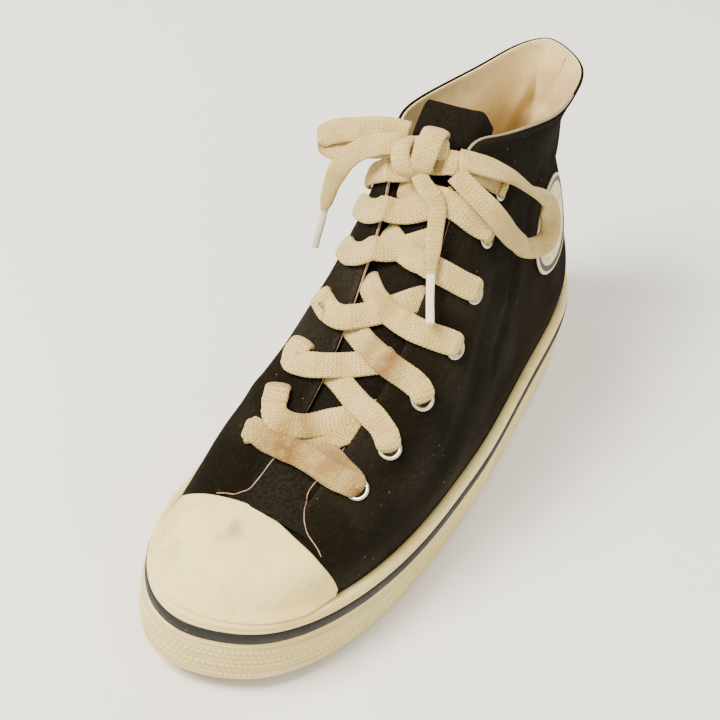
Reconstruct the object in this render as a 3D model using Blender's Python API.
"""Worn canvas high-top sneaker for the left foot.

Metres, +Z up, toe to -Y, outer side of the foot to +X, origin on the floor under the middle.
Run with blender --background --python part.py or from the text editor.
"""
import math

import bpy
import bmesh
import numpy as np

# Driving sizes, in metres
LENGTH = 0.272
WIDTH = 0.0886
BACK_HEIGHT = 0.140
TOE_SPRING = 0.0078
HEEL_SPRING = 0.0012
GAP = 0.0003

# Sole sizes, in metres
OUTSOLE_THICK = 0.0068
INSOLE_THICK = 0.0034
FOXING_WALL = 0.0039
FOXING_HEIGHT = 0.0314
STRIPE_LOW = 0.0216
STRIPE_HIGH = 0.0270
STRIPE_DEPTH = 0.0010
BUMPER_HEIGHT = 0.0158
BUMPER_OUT = 0.0007
FOXING_FOOT = 0.0010
FOXING_TAPER = 0.0016
EDGE_EASE = 0.0008
STRIPE_PROUD = 0.0002
INSOLE_PLAY = 0.0006
ARCH_RISE = 0.0010
TREAD_DEPTH = 0.0014
TREAD_WIDTH = 0.0024
TREAD_REACH = 0.0250
TREAD = [0.08, 0.12, 0.16, 0.20, 0.56, 0.595, 0.63, 0.665, 0.70]

# Upper sizes, in metres
CANVAS = 0.0020
UPPER_FOOT = OUTSOLE_THICK + GAP
UPPER_BEND = 0.0290
CAP_THICK = 0.0014
CAP_TURNS = (24.1, 34.9)
# The toe cap's rear edge: share of the length for each power of the place across, -1 inner to 1 outer
CAP_LINE = (0.8255, 0.0259, 0.1214, -0.0736, -0.1773)
TONGUE_THICK = 0.0024
TONGUE_GAP = 0.0010
TONGUE_ARCH = 0.10
TONGUE_LEAN = (-0.0040, 0.0170, -0.0120)
EYELET_RADIUS = 0.0050
EYELET_BORE = 0.0024
EYELET_BARREL = 0.0029
EYELET_THICK = 0.0008
EYELET_SEAT = 0.0007
HEEL_STRIP = 0.0110
STRIP_THICK = 0.0009
# Rows past the tongue's two ends: reach, sink in drops, and how far the row is drawn together
TONGUE_FRONT_DROP = 0.0010
TONGUE_FRONT = ((0.009, 3.0, 0.35), (0.0045, 2.0, 0.12))
TONGUE_TOP = ((0.006, 0.0), (0.012, 0.0), (0.016, 0.02), (0.018, 0.08))
STRIP_STOP = 0.004
LACE_LIP = 0.0006
PATCH_RADIUS = 0.0195
PATCH_THICK = 0.0010
PATCH_SEAT = 0.0006
PATCH_STEP = 0.005
PATCH_AT = (0.0985, 0.0605)
# From the middle of the patch's underside round its rim to the middle of its face: share of radius, of thickness
PATCH_PROFILE = (
    (0.22, 0.0),
    (0.45, 0.0),
    (0.72, 0.0),
    (0.999, 0.0),
    (1.0, 0.4),
    (0.96, 0.85),
    (0.86, 1.0),
    (0.66, 1.0),
    (0.45, 1.0),
    (0.22, 1.0),
)

# The seven pairs of eyelets: turn and reach under the edge on the outer side, the same on the
# inner side, and the station up the throat that the pair's lace bars start from
EYELETS = [
    (0.410, 0.0168, 0.596, 0.0130, 0.20),
    (0.383, 0.0180, 0.619, 0.0135, 0.34),
    (0.353, 0.0210, 0.645, 0.0145, 0.47),
    (0.317, 0.0290, 0.672, 0.0135, 0.60),
    (0.291, 0.0300, 0.701, 0.0135, 0.73),
    (0.269, 0.0285, 0.724, 0.0150, 0.85),
    (0.246, 0.0195, 0.739, 0.0150, 0.97),
]

# Lace sizes, in metres
BOW_WIDTHS = [(0.0, 0.0060, 0.0020), (0.12, 0.0085, 0.0016), (0.88, 0.0085, 0.0016), (1.0, 0.0060, 0.0020)]
END_WIDTHS = [(0.0, 0.0055, 0.0024), (0.2, 0.0080, 0.0016), (0.58, 0.0070, 0.0018), (0.64, 0.0038, 0.0034),
              (1.0, 0.0036, 0.0034)]
LACE_WIDTH = 0.0095
LACE_THICK = 0.0015
LACE_OVER_EYELET = 0.0036
LACE_OVER_FACING = 0.0030
LACE_OVER_EDGE = 0.0022
LACE_OVER_TONGUE = 0.0026
OUTER_RISES = (0.10, 0.25, 0.55, 0.92)
INNER_RISES = (0.02, 0.00, 0.00, 0.04)
TOP_RISES = (0.08, 0.02, 0.00, 0.00)
LACE_LOW = [(0.20, 0.26), (0.27, 0.42), (0.34, 0.62)]
KNOT = (-0.0122, 0.0200, 0.1476)
KNOT_RADII = (0.0105, 0.0068, 0.0058)

# Routes of the bow, in metres, from the knot outward
LOOP_OUTER = [
    (-0.0010, 0.0225, 0.1478),
    (0.0085, 0.0294, 0.1446),
    (0.0152, 0.0419, 0.1348),
    (0.0201, 0.0565, 0.1197),
    (0.0240, 0.0674, 0.1041),
    (0.0262, 0.0655, 0.0950),
    (0.0252, 0.0538, 0.0970),
    (0.0248, 0.0350, 0.1125),
    (0.0228, 0.0238, 0.1250),
    (0.0172, 0.0180, 0.1355),
    (0.0080, 0.0165, 0.1415),
    (0.0005, 0.0170, 0.1450),
]
LOOP_INNER = [
    (-0.0235, 0.0235, 0.1475),
    (-0.0330, 0.0225, 0.1450),
    (-0.0440, 0.0205, 0.1400),
    (-0.0530, 0.0190, 0.1345),
    (-0.0560, 0.0180, 0.1300),
    (-0.0520, 0.0180, 0.1290),
    (-0.0420, 0.0195, 0.1330),
    (-0.0320, 0.0205, 0.1380),
    (-0.0240, 0.0205, 0.1420),
]
END_INNER = [
    (-0.0225, 0.0160, 0.1475),
    (-0.0310, 0.0135, 0.1440),
    (-0.0385, 0.0115, 0.1370),
    (-0.0430, 0.0105, 0.1270),
    (-0.0450, 0.0100, 0.1150),
    (-0.0455, 0.0090, 0.1020),
    (-0.0460, 0.0080, 0.0890),
]
END_OUTER = [
    (-0.0120, 0.0125, 0.1415),
    (-0.0070, 0.0095, 0.1395),
    (-0.0015, 0.0085, 0.1365),
    (0.0022, 0.0040, 0.1312),
    (0.0060, -0.0030, 0.1248),
    (0.0115, -0.0125, 0.1170),
    (0.0180, -0.0215, 0.1090),
]

# Columns and rows of the solids
AROUND = 60
RIB_ROWS = 8
EYELET_SIDES = 10

# Looks: colour, roughness and metallic
RUBBER_CREAM = ((0.76, 0.70, 0.58), 0.60, 0.0)
RUBBER_DARK = ((0.045, 0.045, 0.050), 0.60, 0.0)
RUBBER_TAN = ((0.55, 0.44, 0.30), 0.70, 0.0)
LINING = ((0.72, 0.62, 0.46), 0.90, 0.0)
CANVAS_BLACK = ((0.020, 0.018, 0.018), 0.90, 0.0)
LACE_COTTON = ((0.80, 0.74, 0.62), 0.95, 0.0)
METAL = ((0.80, 0.79, 0.76), 0.30, 1.0)

# Outline of the sole: share of LENGTH from the heel, outer and inner half widths as shares of WIDTH
OUTLINE = [
    (0.018, 0.170, 0.168),
    (0.072, 0.318, 0.306),
    (0.147, 0.389, 0.366),
    (0.260, 0.436, 0.368),
    (0.368, 0.480, 0.342),
    (0.460, 0.512, 0.350),
    (0.551, 0.524, 0.404),
    (0.643, 0.524, 0.458),
    (0.754, 0.489, 0.470),
    (0.830, 0.436, 0.452),
    (0.901, 0.352, 0.398),
    (0.955, 0.235, 0.302),
    (0.988, 0.085, 0.190),
]
TOE_TIP = -0.050

# Stations up the throat from the toe to the top corner: turns of the outer and the inner edge,
# and how far the tongue reaches under each edge, in metres
THROAT = [
    (0.452, 0.552, 0.009, 0.009),
    (0.428, 0.582, 0.012, 0.012),
    (0.395, 0.615, 0.012, 0.012),
    (0.360, 0.650, 0.012, 0.012),
    (0.325, 0.685, 0.012, 0.010),
    (0.290, 0.720, 0.010, 0.004),
    (0.265, 0.743, 0.008, -0.004),
]

# Ribs of the upper from the heel round the outer side to the toe and back along the inner side.
# Share of the outline's turn, top point (x by WIDTH, y by LENGTH from the heel, z by BACK_HEIGHT),
# lower handle out and up, upper handle out and down, the handles by BACK_HEIGHT.
RIBS = [
    (0.000, -0.060, 0.058, 1.010, 0.020, 0.220, -0.090, 0.260),
    (0.045, 0.090, 0.070, 0.985, 0.020, 0.220, -0.110, 0.260),
    (0.090, 0.150, 0.125, 0.975, 0.010, 0.230, -0.100, 0.260),
    (0.145, 0.155, 0.185, 0.962, -0.010, 0.250, -0.070, 0.240),
    (0.195, 0.110, 0.250, 0.980, -0.020, 0.260, 0.020, 0.210),
    (0.235, 0.055, 0.325, 1.025, -0.010, 0.260, 0.100, 0.150),
    (0.262, 0.020, 0.385, 1.040, -0.010, 0.260, 0.150, 0.120),
    (0.290, 0.075, 0.450, 0.930, 0.000, 0.250, 0.160, 0.090),
    (0.325, 0.130, 0.530, 0.790, 0.000, 0.230, 0.160, 0.060),
    (0.360, 0.160, 0.605, 0.655, 0.000, 0.190, 0.150, 0.030),
    (0.395, 0.150, 0.680, 0.520, 0.000, 0.140, 0.150, 0.000),
    (0.430, 0.130, 0.750, 0.425, -0.010, 0.110, 0.140, 0.000),
    (0.460, 0.100, 0.805, 0.370, -0.020, 0.100, 0.150, 0.000),
    (0.500, -0.020, 0.822, 0.362, -0.040, 0.100, 0.160, 0.000),
    (0.545, -0.110, 0.800, 0.370, -0.020, 0.100, 0.140, 0.000),
    (0.580, -0.110, 0.745, 0.420, -0.010, 0.110, 0.130, 0.010),
    (0.615, -0.100, 0.680, 0.510, 0.000, 0.140, 0.140, 0.010),
    (0.650, -0.120, 0.605, 0.635, 0.000, 0.190, 0.140, 0.040),
    (0.685, -0.170, 0.530, 0.765, -0.010, 0.230, 0.110, 0.090),
    (0.720, -0.250, 0.450, 0.890, -0.010, 0.250, 0.080, 0.140),
    (0.745, -0.335, 0.390, 0.985, -0.010, 0.260, 0.030, 0.200),
    (0.775, -0.385, 0.320, 0.985, -0.010, 0.270, 0.000, 0.230),
    (0.815, -0.340, 0.245, 0.985, -0.010, 0.270, -0.020, 0.230),
    (0.865, -0.275, 0.165, 0.985, -0.010, 0.250, -0.060, 0.240),
    (0.915, -0.220, 0.100, 0.990, 0.010, 0.230, -0.090, 0.250),
    (0.960, -0.150, 0.064, 1.000, 0.020, 0.220, -0.100, 0.260),
]


def spline(knots, values, at, period=None):
    """Smooth cubic through the rows of values; a period closes it."""
    knots = np.asarray(knots, float)
    values = np.asarray(values, float)
    at = np.asarray(at, float)
    if period:
        at = np.mod(at - knots[0], period) + knots[0]
        knots = np.append(knots, knots[0] + period)
        values = np.vstack([values, values[:1]])
    count = len(knots)
    step = np.diff(knots)
    slope = np.diff(values, axis=0) / step[:, None]
    system = np.zeros((count, count))
    right = np.zeros((count, values.shape[1]))
    for i in range(1, count - 1):
        system[i, i - 1:i + 2] = step[i - 1], 2.0 * (step[i - 1] + step[i]), step[i]
        right[i] = 6.0 * (slope[i] - slope[i - 1])
    if period:
        system[0, [0, -1]] = 1.0, -1.0
        system[-1, [0, 1]] = 2.0 * step[0], step[0]
        system[-1, [-2, -1]] = step[-1], 2.0 * step[-1]
        right[-1] = 6.0 * (slope[0] - slope[-1])
    else:
        system[0, 0] = 1.0
        system[-1, -1] = 1.0
    bend = np.linalg.solve(system, right)
    cell = np.clip(np.searchsorted(knots, at, side="right") - 1, 0, count - 2)
    width = step[cell][:, None]
    after = (at - knots[cell])[:, None]
    before = width - after
    curve = (bend[cell] * before ** 3 + bend[cell + 1] * after ** 3) / (6.0 * width)
    curve += (values[cell] / width - bend[cell] * width / 6.0) * before
    curve += (values[cell + 1] / width - bend[cell + 1] * width / 6.0) * after
    return curve


def unit(vectors):
    return vectors / np.maximum(np.linalg.norm(vectors, axis=-1, keepdims=True), 1e-12)


def outline_route():
    """The sole's outline as a dense closed run of points from the heel round the outer side."""
    route = [(0.0, 0.0)]
    route += [(outer * WIDTH, share * LENGTH) for share, outer, inner in OUTLINE]
    route += [(TOE_TIP * WIDTH, LENGTH)]
    route += [(-inner * WIDTH, share * LENGTH) for share, outer, inner in reversed(OUTLINE)]
    route = np.array(route)
    closed = np.vstack([route, route[:1]])
    run = np.append(0.0, np.cumsum(np.linalg.norm(np.diff(closed, axis=0), axis=1)))
    return spline(run[:-1], route, np.linspace(0.0, run[-1], 721)[:-1], run[-1])


ROUTE = outline_route()
ROUTE_STEPS = np.linalg.norm(np.roll(ROUTE, -1, axis=0) - ROUTE, axis=1)
ROUTE_RUN = np.append(0.0, np.cumsum(ROUTE_STEPS))
MIDDLE_X = 0.5 * (ROUTE[:, 0].max() + ROUTE[:, 0].min())


def outline(turns):
    """Points and outward directions of the outline at shares of its turn."""
    along = np.mod(np.asarray(turns, float), 1.0) * ROUTE_RUN[-1]
    closed = np.vstack([ROUTE, ROUTE[:1]])
    ahead = np.roll(ROUTE, -1, axis=0) - np.roll(ROUTE, 1, axis=0)
    ahead = np.vstack([ahead, ahead[:1]])
    points = np.stack([np.interp(along, ROUTE_RUN, closed[:, k]) for k in (0, 1)], axis=1)
    tangents = unit(np.stack([np.interp(along, ROUTE_RUN, ahead[:, k]) for k in (0, 1)], axis=1))
    points[:, 1] = LENGTH * 0.5 - points[:, 1]
    points[:, 0] -= MIDDLE_X
    return points, np.stack([tangents[:, 1], tangents[:, 0]], axis=1)


def lift(y):
    """Height of the walking line over the floor: toe spring and a little at the heel."""
    share = (LENGTH * 0.5 - np.asarray(y, float)) / LENGTH
    toe = np.clip((share - 0.70) / 0.30, 0.0, 1.0) ** 1.8
    heel = np.clip((0.08 - share) / 0.08, 0.0, 1.0) ** 2
    return TOE_SPRING * toe + HEEL_SPRING * heel


def level(turns, inset, height):
    """Points on the outline drawn in by inset, at a height over the walking line."""
    points, out = outline(turns)
    points = points - out * np.reshape(inset, (-1, 1))
    heights = np.reshape(height, (-1,)) + lift(points[:, 1])
    return np.column_stack([points, heights])


def rib_values(turns):
    knots = [row[0] for row in RIBS]
    return spline(knots, [row[1:] for row in RIBS], np.mod(turns, 1.0), 1.0)


def upper_skin(turns, shares):
    """The upper's outer surface; share 0 is where it leaves the foxing and 1 is the top line."""
    turns = np.asarray(turns, float)
    shares = np.asarray(shares, float)
    foot = level(turns, FOXING_WALL + GAP, UPPER_BEND)
    out = np.column_stack([outline(turns)[1], np.zeros(len(turns))])
    row = rib_values(turns)
    top = np.column_stack([
        row[:, 0] * WIDTH - MIDDLE_X,
        LENGTH * (0.5 - row[:, 1]),
        row[:, 2] * BACK_HEIGHT,
    ])
    rise = np.array([0.0, 0.0, 1.0])
    low = foot + (out * row[:, 3:4] + rise * row[:, 4:5]) * BACK_HEIGHT
    high = top + (out * row[:, 5:6] - rise * row[:, 6:7]) * BACK_HEIGHT
    s = shares[:, None]
    r = 1.0 - s
    return r ** 3 * foot + 3.0 * r * r * s * low + 3.0 * r * s * s * high + s ** 3 * top


def upper_normals(turns, shares):
    step = 0.002
    around = upper_skin(turns + step, shares) - upper_skin(turns - step, shares)
    high = np.clip(shares + step, 0.0, 1.0)
    low = np.clip(shares - step, 0.0, 1.0)
    along = upper_skin(turns, high) - upper_skin(turns, low)
    return unit(np.cross(along, around))


def skin(turns, shares, out):
    """Points at a distance out of the upper's outer surface."""
    turns, shares = np.broadcast_arrays(np.asarray(turns, float), np.asarray(shares, float))
    turns = turns.ravel()
    shares = shares.ravel()
    return upper_skin(turns, shares) + upper_normals(turns, shares) * np.reshape(out, (-1, 1))


def empty_collection(name, parent):
    collection = bpy.data.collections.new(name)
    parent.children.link(collection)
    return collection


def own_material(name, look):
    colour, roughness, metallic = look
    made = bpy.data.materials.new(name)
    made.use_nodes = True
    shader = made.node_tree.nodes["Principled BSDF"]
    shader.inputs["Base Color"].default_value = (*colour, 1.0)
    shader.inputs["Roughness"].default_value = roughness
    shader.inputs["Metallic"].default_value = metallic
    return made


def build_object(name, verts, faces, look):
    mesh = bpy.data.meshes.new(name)
    mesh.from_pydata([tuple(v) for v in verts], [], faces)
    shape = bmesh.new()
    shape.from_mesh(mesh)
    bmesh.ops.recalc_face_normals(shape, faces=shape.faces)
    if shape.calc_volume(signed=True) < 0.0:
        bmesh.ops.reverse_faces(shape, faces=shape.faces)
    shape.to_mesh(mesh)
    shape.free()
    item = bpy.data.objects.new(name, mesh)
    SHOE.objects.link(item)
    mesh.materials.append(own_material(name, look))
    return item


def set_aside(item, collection):
    """Move a cutter or an operand out of the shoe's collection and out of the render."""
    SHOE.objects.unlink(item)
    collection.objects.link(item)
    item.hide_render = True
    item.display_type = "WIRE"


def ring_body(name, rings, look, closed=True):
    """A solid swept round through equal rings of points; open runs get caps."""
    count = len(rings)
    size = len(rings[0])
    faces = []
    for i in range(count if closed else count - 1):
        j = (i + 1) % count
        for k in range(size):
            m = (k + 1) % size
            faces.append((i * size + k, j * size + k, j * size + m, i * size + m))
    if not closed:
        faces.append(tuple(range(size)))
        faces.append(tuple((count - 1) * size + k for k in range(size)))
    return build_object(name, np.concatenate(rings), faces, look)


def arch(y):
    """1 in the middle of the arch, fading to 0 at the heel seat and the ball."""
    share = (LENGTH * 0.5 - np.asarray(y, float)) / LENGTH
    return np.clip(1.0 - ((share - 0.42) / 0.13) ** 2, 0.0, 1.0) ** 2


def plate(name, inset, low, high, look, rise=0.0):
    """A plate with the sole's outline, its rim eased, closed by a fan of strips across."""
    turns = np.arange(AROUND) / AROUND
    loops = [
        level(turns, inset + EDGE_EASE, low),
        level(turns, inset, low + EDGE_EASE),
        level(turns, inset, high - EDGE_EASE),
        level(turns, inset + EDGE_EASE, high),
    ]
    for loop in loops[:2]:
        loop[:, 2] += rise * arch(loop[:, 1])
    verts = np.concatenate(loops)
    faces = []
    for i in range(3):
        for k in range(AROUND):
            m = (k + 1) % AROUND
            faces.append((i * AROUND + k, i * AROUND + m, (i + 1) * AROUND + m, (i + 1) * AROUND + k))
    top = 3 * AROUND
    half = AROUND // 2
    for k in range(half):
        a, b = k, k + 1
        c, d = (AROUND - k - 1) % AROUND, (AROUND - k) % AROUND
        faces.append(tuple(dict.fromkeys((a, b, c, d))))
        faces.append(tuple(dict.fromkeys((top + a, top + b, top + c, top + d))))
    return build_object(name, verts, faces, look)


def toe_share(turns):
    """1 round the toe, fading to 0 at the ball."""
    away = np.abs(np.mod(np.asarray(turns, float), 1.0) - 0.5)
    share = np.clip((0.20 - away) / 0.07, 0.0, 1.0)
    return share * share * (3.0 - 2.0 * share)


def make_sole():
    turns = np.arange(AROUND) / AROUND
    bumper = BUMPER_OUT * toe_share(turns)
    section = [
        (FOXING_WALL, FOXING_FOOT),
        (FOXING_FOOT - bumper, FOXING_FOOT),
        (-bumper, FOXING_FOOT + EDGE_EASE * 1.5),
        (-bumper, BUMPER_HEIGHT - EDGE_EASE),
        (0.0, BUMPER_HEIGHT),
        (0.0, STRIPE_LOW),
        (STRIPE_DEPTH + GAP, STRIPE_LOW),
        (STRIPE_DEPTH + GAP, STRIPE_HIGH),
        (FOXING_TAPER * 0.2, STRIPE_HIGH),
        (FOXING_TAPER * 0.6, FOXING_HEIGHT - EDGE_EASE),
        (FOXING_TAPER, FOXING_HEIGHT),
        (FOXING_WALL, FOXING_HEIGHT),
    ]
    loops = [level(turns, np.broadcast_to(inset, turns.shape), high) for inset, high in section]
    rings = [np.array([loop[k] for loop in loops]) for k in range(AROUND)]
    ring_body("foxing", rings, RUBBER_CREAM)
    section = [
        (-STRIPE_PROUD, STRIPE_LOW + GAP),
        (STRIPE_DEPTH, STRIPE_LOW + GAP),
        (STRIPE_DEPTH, STRIPE_HIGH - GAP),
        (0.0, STRIPE_HIGH - GAP),
    ]
    loops = [level(turns, inset, high) for inset, high in section]
    rings = [np.array([loop[k] for loop in loops]) for k in range(AROUND)]
    ring_body("stripe", rings, RUBBER_DARK)
    inner = FOXING_WALL + GAP + CANVAS + INSOLE_PLAY
    plate("insole", inner, UPPER_FOOT, UPPER_FOOT + INSOLE_THICK, LINING)
    return plate("outsole", FOXING_WALL + GAP, 0.0, OUTSOLE_THICK, RUBBER_TAN, ARCH_RISE)


def make_upper():
    turns = np.arange(AROUND) / AROUND
    outer = [level(turns, FOXING_WALL + GAP, UPPER_FOOT)]
    inner = [level(turns, FOXING_WALL + GAP + CANVAS, UPPER_FOOT)]
    for i in range(RIB_ROWS):
        share = i / (RIB_ROWS - 1)
        outer.append(skin(turns, share, 0.0))
        inner.append(skin(turns, share, -CANVAS))
    loops = outer + inner[::-1]
    rings = [np.array([loop[k] for loop in loops]) for k in range(AROUND)]
    return ring_body("upper", rings, CANVAS_BLACK)


def share_at(turn, reach):
    """How far up a rib the point lies that is reach under the top line."""
    shares = np.linspace(1.0, 0.4, 61)
    points = upper_skin(np.full(61, turn), shares)
    run = np.append(0.0, np.cumsum(np.linalg.norm(np.diff(points, axis=0), axis=1)))
    return float(np.interp(reach, run, shares))


def skin_point(turn, reach, out):
    return skin([turn], [share_at(turn, reach)], out)[0]


def throat(station):
    """Turns of both edges and the tongue's tucks at a station, 0 at the toe and 1 at the top."""
    knots = np.linspace(0.0, 1.0, len(THROAT))
    return spline(knots, THROAT, [station])[0]


def along_run(route, count):
    """Even points along a run of straight steps."""
    run = np.append(0.0, np.cumsum(np.linalg.norm(np.diff(route, axis=0), axis=1)))
    at = np.linspace(0.0, run[-1], count)
    return np.stack([np.interp(at, run, route[:, k]) for k in range(3)], axis=1)


def tongue_ahead():
    """The direction out of the tongue's face."""
    return unit(np.array([0.0, -1.0, 0.9]))


def over_tongue(station, share, out):
    """A point over the tongue's face, share 0 at the outer edge of the throat and 1 at the inner."""
    outer, inner = throat(station)[:2]
    under = -(CANVAS + TONGUE_GAP)
    left = skin_point(outer, 0.0, under)
    right = skin_point(inner, 0.0, under)
    across = right - left
    bulge = TONGUE_ARCH * np.linalg.norm(across) * min(1.0, 0.1 + station * 3.0)
    ahead = tongue_ahead()
    return left + across * share + ahead * (4.0 * share * (1.0 - share) * bulge + out)


def tongue_row(station, count=9):
    """Points across the tongue's face at a station, from the outer side to the inner side."""
    outer, inner, outer_tuck, inner_tuck = throat(station)
    under = -(CANVAS + TONGUE_GAP)
    span = np.linalg.norm(over_tongue(station, 1.0, 0.0) - over_tongue(station, 0.0, 0.0))
    first = max(0.0, -outer_tuck) / span
    last = 1.0 - max(0.0, -inner_tuck) / span
    arch = [over_tongue(station, s, 0.0) for s in np.linspace(first, last, 9)]
    route = arch
    if outer_tuck > 0.0:
        route = [skin_point(outer, outer_tuck * s, under) for s in (1.0, 0.66, 0.33)] + route
    if inner_tuck > 0.0:
        route = route + [skin_point(inner, inner_tuck * s, under) for s in (0.33, 0.66, 1.0)]
    return along_run(np.array(route), count)


def slab(name, face, thick, look):
    """A solid under a grid of face points, given rows by columns."""
    down = np.cross(np.gradient(face, axis=1), np.gradient(face, axis=0))
    down = unit(down)
    under = face + down * thick
    rows, columns, three = face.shape
    rings = [np.vstack([face[i], under[i][::-1]]) for i in range(rows)]
    return ring_body(name, rings, look, closed=False)


def make_tongue():
    rows = [tongue_row(s) for s in np.linspace(0.0, 1.0, 11)]
    ahead = unit(rows[0] - rows[1]).mean(axis=0) * np.array([1.0, 1.0, 0.5])
    drop = np.array([0.0, 0.0, -TONGUE_FRONT_DROP])
    middle = rows[0].mean(axis=0)
    front = []
    for reach, sink, pull in TONGUE_FRONT:
        front.append(rows[0] + (middle - rows[0]) * pull + ahead * reach + drop * sink)
    rows[0] = rows[0] + drop
    up = unit(rows[-1] - rows[-2]).mean(axis=0)
    top = []
    for reach, pull in TONGUE_TOP:
        row = rows[-1] + up * reach
        top.append(row + (row.mean(axis=0) - row) * pull)
    face = np.array(front + rows + top)
    count = len(face)
    for i in range(count):
        lean = max(0.0, (i - (count - 8)) / 7.0) ** 2
        across = (1.0 - np.linspace(0.0, 1.0, face.shape[1])) ** 1.3
        face[i] += np.array(TONGUE_LEAN) * lean * across[:, None]
    slab("tongue", face, TONGUE_THICK, CANVAS_BLACK)


def patch_of_skin(name, turns, low, high, rows, under, thick, look):
    """A solid cut between two larger forms of the upper; low and high are shares for each turn."""
    rings = []
    for turn, first, last in zip(turns, low, high):
        shares = np.linspace(first, last, rows)
        outs = np.full(rows, under + thick)
        outs[0] = under + thick * 0.6
        outs[-1] = under + thick * 0.6
        face = skin(np.full(rows, turn), shares, outs)
        back = skin(np.full(rows, turn), shares, under)
        rings.append(np.vstack([face, back[::-1]]))
    return ring_body(name, rings, look, closed=False)


def share_over(turn, height):
    """First share where a rib is this high over the walking line."""
    shares = np.linspace(0.0, 1.0, 201)
    points = upper_skin(np.full(201, turn), shares)
    over = points[:, 2] - lift(points[:, 1])
    return float(shares[np.argmax(over > height)])


def share_behind(turn):
    """First share where a rib passes behind a line across the toe, bowed a little to the back."""
    shares = np.linspace(0.0, 1.0, 201)
    points = upper_skin(np.full(201, turn), shares)
    side = points[:, 0] / (WIDTH * 0.5)
    line = LENGTH * (0.5 - sum(part * side ** power for power, part in enumerate(CAP_LINE)))
    return float(shares[np.argmax(points[:, 1] > line)])


def make_toe_cap():
    turns = np.linspace(CAP_TURNS[0], CAP_TURNS[1], 23) / AROUND
    low = [share_over(turn, FOXING_HEIGHT + GAP) for turn in turns]
    high = [share_behind(turn) for turn in turns]
    patch_of_skin("toe_cap", turns, low, high, 7, GAP * 1.4, CAP_THICK, RUBBER_CREAM)


def frame_on_skin(turn, reach, out):
    """A place on the upper: its point, the direction out of it, and the direction up the rib."""
    share = share_at(turn, reach)
    point = skin([turn], [share], out)[0]
    normal = upper_normals(np.array([turn]), np.array([share]))[0]
    up = upper_skin(np.array([turn]), np.array([share + 0.01]))[0] - point
    up = up - normal * np.dot(up, normal)
    up = up / np.linalg.norm(up)
    return point, normal, up


def turned(name, place, section, count, look):
    """A solid of revolution round the direction out of the upper at a place."""
    point, normal, up = place
    side = np.cross(up, normal)
    rings = []
    for i in range(count):
        angle = math.tau * i / count
        spoke = up * math.cos(angle) + side * math.sin(angle)
        rings.append(np.array([point + spoke * radius + normal * high for radius, high in section]))
    return ring_body(name, rings, look)


def eyelet_places():
    """Names and places of the seven pairs, from the toe up."""
    places = []
    for k, (outer, outer_in, inner, inner_in, station) in enumerate(EYELETS):
        places.append(("eyelet_outer_%d" % (k + 1), outer, outer_in))
        places.append(("eyelet_inner_%d" % (k + 1), inner, inner_in))
    return places


def make_eyelets(upper):
    section = [
        (EYELET_BORE, -CANVAS * 0.6),
        (EYELET_BORE, EYELET_THICK * 0.8),
        (EYELET_RADIUS * 0.75, EYELET_THICK + EYELET_SEAT),
        (EYELET_RADIUS, EYELET_SEAT),
        (EYELET_BARREL, EYELET_SEAT),
        (EYELET_BARREL, -CANVAS * 0.6),
    ]
    hole = EYELET_BARREL + GAP
    verts = []
    faces = []
    for name, turn, reach in eyelet_places():
        place = frame_on_skin(turn, reach, 0.0)
        turned(name, place, section, EYELET_SIDES, METAL)
        point, normal, up = place
        side = np.cross(up, normal)
        start = len(verts)
        for high in (-CANVAS * 2.5, CANVAS * 2.0):
            for i in range(EYELET_SIDES):
                angle = math.tau * i / EYELET_SIDES
                spoke = up * math.cos(angle) + side * math.sin(angle)
                verts.append(point + spoke * hole + normal * high)
        top = start + EYELET_SIDES
        for i in range(EYELET_SIDES):
            j = (i + 1) % EYELET_SIDES
            faces.append((start + i, start + j, top + j, top + i))
        faces.append(tuple(start + i for i in range(EYELET_SIDES)))
        faces.append(tuple(top + i for i in range(EYELET_SIDES)))
    cutter = build_object("eyelet_cutter", verts, faces, METAL)
    set_aside(cutter, CUTTERS)
    holes = upper.modifiers.new("eyelet_holes", "BOOLEAN")
    holes.operation = "DIFFERENCE"
    holes.solver = "EXACT"
    holes.object = cutter


def ribbon(name, points, fronts, widths=None, samples=8):
    """A flat lace swept through route points, its broad face turned to the front directions.

    widths holds shares along the lace with its width and thickness there.
    """
    points = np.array(points)
    run = np.append(0.0, np.cumsum(np.linalg.norm(np.diff(points, axis=0), axis=1)))
    at = np.linspace(0.0, run[-1], samples)
    middle = spline(run, points, at)
    front = spline(run, np.array(fronts), at)
    ahead = unit(np.gradient(middle, axis=0))
    side = unit(np.cross(ahead, front))
    face = np.cross(side, ahead)
    table = np.array(widths or [(0.0, LACE_WIDTH, LACE_THICK), (1.0, LACE_WIDTH, LACE_THICK)])
    wides = np.interp(at / run[-1], table[:, 0], table[:, 1]) * 0.5
    highs = np.interp(at / run[-1], table[:, 0], table[:, 2]) * 0.5
    rings = []
    for k in range(samples):
        wide = side[k] * wides[k]
        high = face[k] * highs[k]
        rings.append(middle[k] + np.array([-wide - high, wide - high, wide + high, high - wide]))
    return ring_body(name, rings, LACE_COTTON, closed=False)


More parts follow.
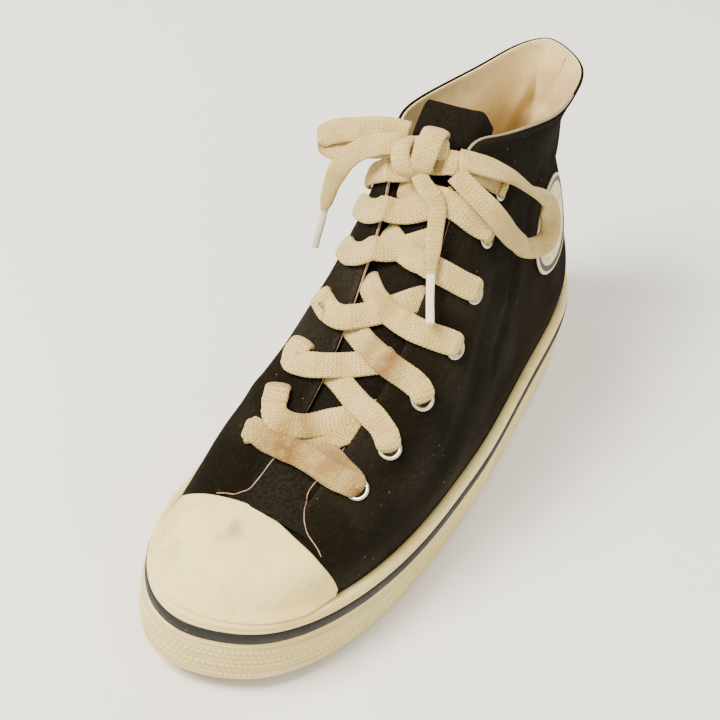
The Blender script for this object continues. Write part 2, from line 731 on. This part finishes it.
def lace_bar(name, k, outer_first, rises, samples=8):
    """One visible run of lace, from its own eyelet over its edge to under the far edge."""
    outer, outer_in, inner, inner_in, station = EYELETS[k]
    step = EYELETS[min(k + 1, 6)][4] - EYELETS[min(k + 1, 6) - 1][4]
    turn, reach = (outer, outer_in) if outer_first else (inner, inner_in)
    side = 0 if outer_first else 1
    edge = throat(station + rises[0] * step)[side]
    shares = (0.28, 0.56, 0.78) if outer_first else (0.72, 0.44, 0.22)
    ahead = tongue_ahead()
    start = frame_on_skin(turn, reach, LACE_OVER_EYELET)
    half = frame_on_skin(0.5 * (turn + edge), reach * 0.5, LACE_OVER_FACING)
    lip = frame_on_skin(edge, LACE_LIP, LACE_OVER_EDGE)
    points = [start[0], half[0], lip[0]]
    fronts = [start[1], half[1], unit(lip[1] + ahead)]
    for share, rise in zip(shares, rises[1:]):
        points.append(over_tongue(station + rise * step, share, LACE_OVER_TONGUE))
        fronts.append(ahead)
    return ribbon(name, points, fronts, samples=samples)


def make_lace():
    """The crossings, joined into one solid."""
    bars = []
    outer, outer_in, inner, inner_in, station = EYELETS[0]
    ahead = tongue_ahead()
    points = []
    fronts = []
    for turn, reach, share in ((outer, outer_in, 0.2), (inner, inner_in, 0.8)):
        start = frame_on_skin(turn, reach, LACE_OVER_EYELET)
        edge = throat(station)[0 if share < 0.5 else 1]
        lip = frame_on_skin(edge, LACE_LIP, LACE_OVER_EDGE)
        row = [start[0], lip[0], over_tongue(station, share, LACE_OVER_TONGUE * 1.6)]
        turned_to = [start[1], unit(lip[1] + ahead), ahead]
        points += row if share < 0.5 else row[::-1]
        fronts += turned_to if share < 0.5 else turned_to[::-1]
    bars.append(ribbon("lace", points, fronts, samples=9))
    for k in range(1, 7):
        rises = OUTER_RISES if k < 6 else TOP_RISES
        bars.append(lace_bar("lace_bar_outer_%d" % (k + 1), k, True, rises))
        if k < 6:
            bars.append(lace_bar("lace_bar_inner_%d" % (k + 1), k, False, INNER_RISES))
    low = [over_tongue(s, share, LACE_OVER_TONGUE * 1.1) for s, share in LACE_LOW]
    bars.append(ribbon("lace_bar_low", low, [ahead] * len(low), samples=5))
    joined = bpy.data.collections.new("lace_bars")
    CUTTERS.children.link(joined)
    for bar in bars[1:]:
        set_aside(bar, joined)
    union = bars[0].modifiers.new("join_bars", "BOOLEAN")
    union.operation = "UNION"
    union.solver = "EXACT"
    union.operand_type = "COLLECTION"
    union.collection = joined


def make_bow():
    """Knot, loops and free ends, each clear of the next."""
    up = np.array([0.0, 0.0, 1.0])
    ahead = tongue_ahead()
    sphere = []
    faces = []
    across = np.array([0.93, 0.10, -0.36])
    across = unit(across - ahead * np.dot(across, ahead))
    third = np.cross(ahead, across)
    around = 12
    rows = 7
    for i in range(rows):
        tilt = math.pi * (i + 1) / (rows + 1)
        for k in range(around):
            angle = math.tau * k / around
            spoke = third * math.cos(angle) * KNOT_RADII[1] + ahead * math.sin(angle) * KNOT_RADII[2]
            reach = across * math.cos(tilt) * KNOT_RADII[0]
            sphere.append(np.array(KNOT) + reach + spoke * math.sin(tilt) ** 0.7)
    rings = [np.array(sphere[i * around:(i + 1) * around]) for i in range(rows)]
    ring_body("lace_knot", rings, LACE_COTTON, closed=False)
    side = np.array([0.80, -0.25, 0.55])
    turned_out = [ahead, side, side, side, side, side, side, side, side, side, side, ahead]
    ribbon("lace_loop_outer", LOOP_OUTER, turned_out, BOW_WIDTHS, 22)
    fronts = [up * 0.5 + ahead] * len(LOOP_INNER)
    ribbon("lace_loop_inner", LOOP_INNER, fronts, BOW_WIDTHS, 16)
    outward = [ahead, ahead, ahead - 0.3, ahead - 0.5, ahead - 0.5, ahead - 0.5, ahead - 0.5]
    ribbon("lace_end_inner", END_INNER, outward, END_WIDTHS, 14)
    ribbon("lace_end_outer", END_OUTER, [ahead] * len(END_OUTER), END_WIDTHS, 14)


def make_heel_strip():
    reach = HEEL_STRIP / ROUTE_RUN[-1]
    turns = np.linspace(-reach, reach, 7)
    low = [share_over(turn, FOXING_HEIGHT + GAP) for turn in turns]
    high = [share_at(turn % 1.0, STRIP_STOP) for turn in turns]
    patch_of_skin("heel_strip", turns, low, high, 9, GAP * 1.4, STRIP_THICK, CANVAS_BLACK)


def make_patch():
    """A plain round patch that follows the outer side of the ankle."""
    turn, reach = PATCH_AT
    share = share_at(turn, reach)
    ahead = upper_skin(np.array([turn + PATCH_STEP]), np.array([share]))[0]
    behind = upper_skin(np.array([turn - PATCH_STEP]), np.array([share]))[0]
    stretch = np.linalg.norm(ahead - behind) / (2.0 * PATCH_STEP)
    count = 28
    rings = []
    for radius, out in PATCH_PROFILE:
        ring = []
        for k in range(count):
            angle = math.tau * k / count
            wide = PATCH_RADIUS * radius * math.cos(angle) / stretch
            tall = PATCH_RADIUS * radius * math.sin(angle)
            ring.append(skin_point(turn + wide, reach - tall, PATCH_SEAT + PATCH_THICK * out))
        rings.append(np.array(ring))
    middle = skin_point(turn, reach, PATCH_SEAT + PATCH_THICK)
    under = skin_point(turn, reach, PATCH_SEAT)
    verts = np.concatenate(rings + [[middle], [under]])
    faces = []
    for i in range(len(rings) - 1):
        for k in range(count):
            m = (k + 1) % count
            faces.append((i * count + k, i * count + m, (i + 1) * count + m, (i + 1) * count + k))
    last = (len(rings) - 1) * count
    for k in range(count):
        m = (k + 1) % count
        faces.append((last + k, last + m, len(verts) - 2))
        faces.append((m, k, len(verts) - 1))
    build_object("ankle_patch", verts, faces, LACE_COTTON)


def cut_tread(outsole):
    """Straight grooves across the forefoot and the heel."""
    verts = []
    faces = []
    for share in TREAD:
        y = LENGTH * (0.5 - share)
        start = len(verts)
        for z in (-TREAD_DEPTH * 2.0, TREAD_DEPTH):
            for x, off in ((-1, -1), (1, -1), (1, 1), (-1, 1)):
                verts.append((x * TREAD_REACH, y + off * TREAD_WIDTH * 0.5, z))
        for k in range(4):
            m = (k + 1) % 4
            faces.append((start + k, start + m, start + 4 + m, start + 4 + k))
        faces.append((start, start + 1, start + 2, start + 3))
        faces.append((start + 4, start + 5, start + 6, start + 7))
    cutter = build_object("tread_cutter", verts, faces, RUBBER_TAN)
    set_aside(cutter, CUTTERS)
    grooves = outsole.modifiers.new("tread_grooves", "BOOLEAN")
    grooves.operation = "DIFFERENCE"
    grooves.solver = "EXACT"
    grooves.object = cutter


for item in list(bpy.data.objects):
    bpy.data.objects.remove(item, do_unlink=True)

SHOE = empty_collection("canvas_high_top", bpy.context.scene.collection)
CUTTERS = empty_collection("cutters", bpy.context.scene.collection)

OUTSOLE = make_sole()
UPPER = make_upper()
make_tongue()
make_toe_cap()
make_eyelets(UPPER)
make_lace()
make_bow()
make_heel_strip()
make_patch()
cut_tread(OUTSOLE)
